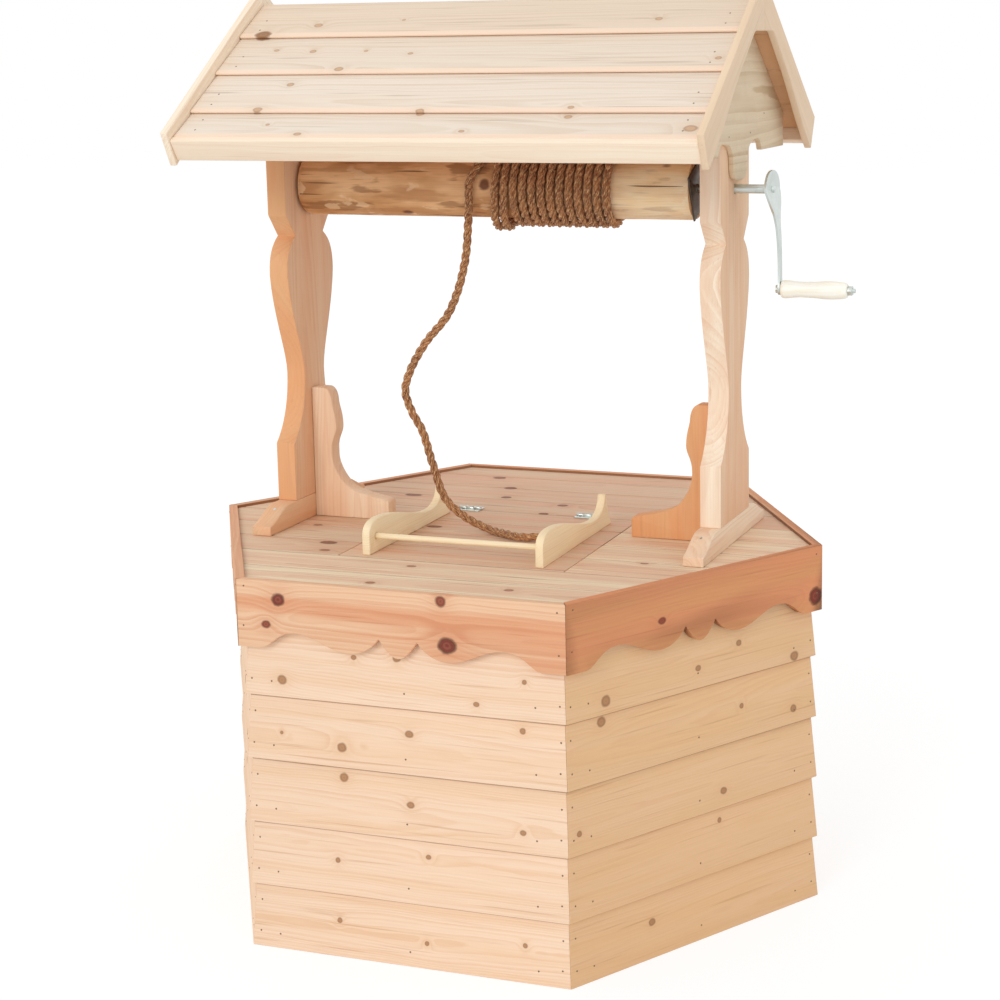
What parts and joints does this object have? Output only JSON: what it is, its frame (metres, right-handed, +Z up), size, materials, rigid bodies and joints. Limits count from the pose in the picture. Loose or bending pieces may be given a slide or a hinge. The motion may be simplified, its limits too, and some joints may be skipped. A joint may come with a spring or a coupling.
{
  "type": "wishing well planter",
  "caption": "Wooden wishing well planter: clad hexagonal base with scalloped rim, hinged hatch, shaped posts, boarded gable roof and a log roller with crank and rope.",
  "frame": {"origin": "middle of the base bearers' underside, on the ground below the middle of the roof's ridge", "axes": "+Z up, +X along the roller towards the crank, -Y towards the hatch's front edge"},
  "size_m": [1.2553, 1.0392, 1.6629],
  "materials": {
    "cladding": "planed pale pine boards with small knots, matt",
    "rim_boards": "planed reddish pine with dark knots, matt",
    "deck": "planed pinkish-brown pine with brown knots, matt",
    "handle": "sawn pale yellow softwood, matt",
    "posts": "planed pine with a pale sapwood edge, matt",
    "gables": "planed pine with arched grain, matt",
    "roof": "sawn cream softwood, matt",
    "roller_log": "brown turned log with dark streaks, matt",
    "grip": "turned cream hardwood, satin",
    "rope": "laid natural fibre, dull",
    "zinc_steel": "bright zinc plate, semi-gloss"
  },
  "bodies": {
    "well": {"wall_panel_1": "cladding", "wall_panel_2": "cladding", "wall_panel_3": "cladding", "wall_panel_4": "cladding", "wall_panel_5": "cladding", "wall_panel_6": "cladding", "base_bearers": "cladding", "floor_board": "cladding", "deck_joists": "cladding", "rim_board_1": "rim_boards", "rim_board_2": "rim_boards", "rim_board_3": "rim_boards", "rim_board_4": "rim_boards", "rim_board_5": "rim_boards", "rim_board_6": "rim_boards", "deck_front": "deck", "deck_rear": "deck", "deck_left": "deck", "deck_right": "deck", "hinge_fixed_left": "zinc_steel", "hinge_fixed_right": "zinc_steel", "post_left": "posts", "post_right": "posts", "foot_cleat_left": "posts", "foot_cleat_right": "posts", "corbel_left": "posts", "corbel_right": "posts", "gable_board_left": "gables", "gable_board_right": "gables", "bargeboard_left_front": "roof", "bargeboard_left_rear": "roof", "bargeboard_right_front": "roof", "bargeboard_right_rear": "roof", "roof_board_front_1": "roof", "roof_board_front_2": "roof", "roof_board_front_3": "roof", "roof_board_front_4": "roof", "roof_board_rear_1": "roof", "roof_board_rear_2": "roof", "roof_board_rear_3": "roof", "roof_board_rear_4": "roof", "eave_board_front": "roof", "eave_board_rear": "roof", "rope_hanging": "rope"},
    "hatch": {"hatch_panel": "deck", "handle_left": "handle", "handle_right": "handle", "handle_dowel": "handle", "hinge_moving_left": "zinc_steel", "hinge_moving_right": "zinc_steel"},
    "windlass": {"roller": "roller_log", "crank_shaft": "zinc_steel", "idle_pin": "zinc_steel", "end_plate": "zinc_steel", "crank_arm": "zinc_steel", "grip_bolt": "zinc_steel", "grip_nut": "zinc_steel", "rope_winding": "rope"},
    "grip": {"crank_grip": "grip"}
  },
  "joints": [
    {"name": "windlass_turn", "type": "hinge", "parent": "well", "child": "windlass", "pos_m": [0, 0, 1.3], "axis": [-1, 0, 0], "continuous": true, "deforming": ["rope_hanging"]},
    {"name": "hatch_open", "type": "hinge", "parent": "well", "child": "hatch", "pos_m": [0, 0.118, 0.6647], "axis": [-1, 0, 0], "range_deg": [0, 139], "deforming": ["rope_hanging"]},
    {"name": "grip_spin", "type": "hinge", "parent": "windlass", "child": "grip", "pos_m": [0.58, 0, 1.125], "axis": [1, 0, 0], "continuous": true}
  ]
}
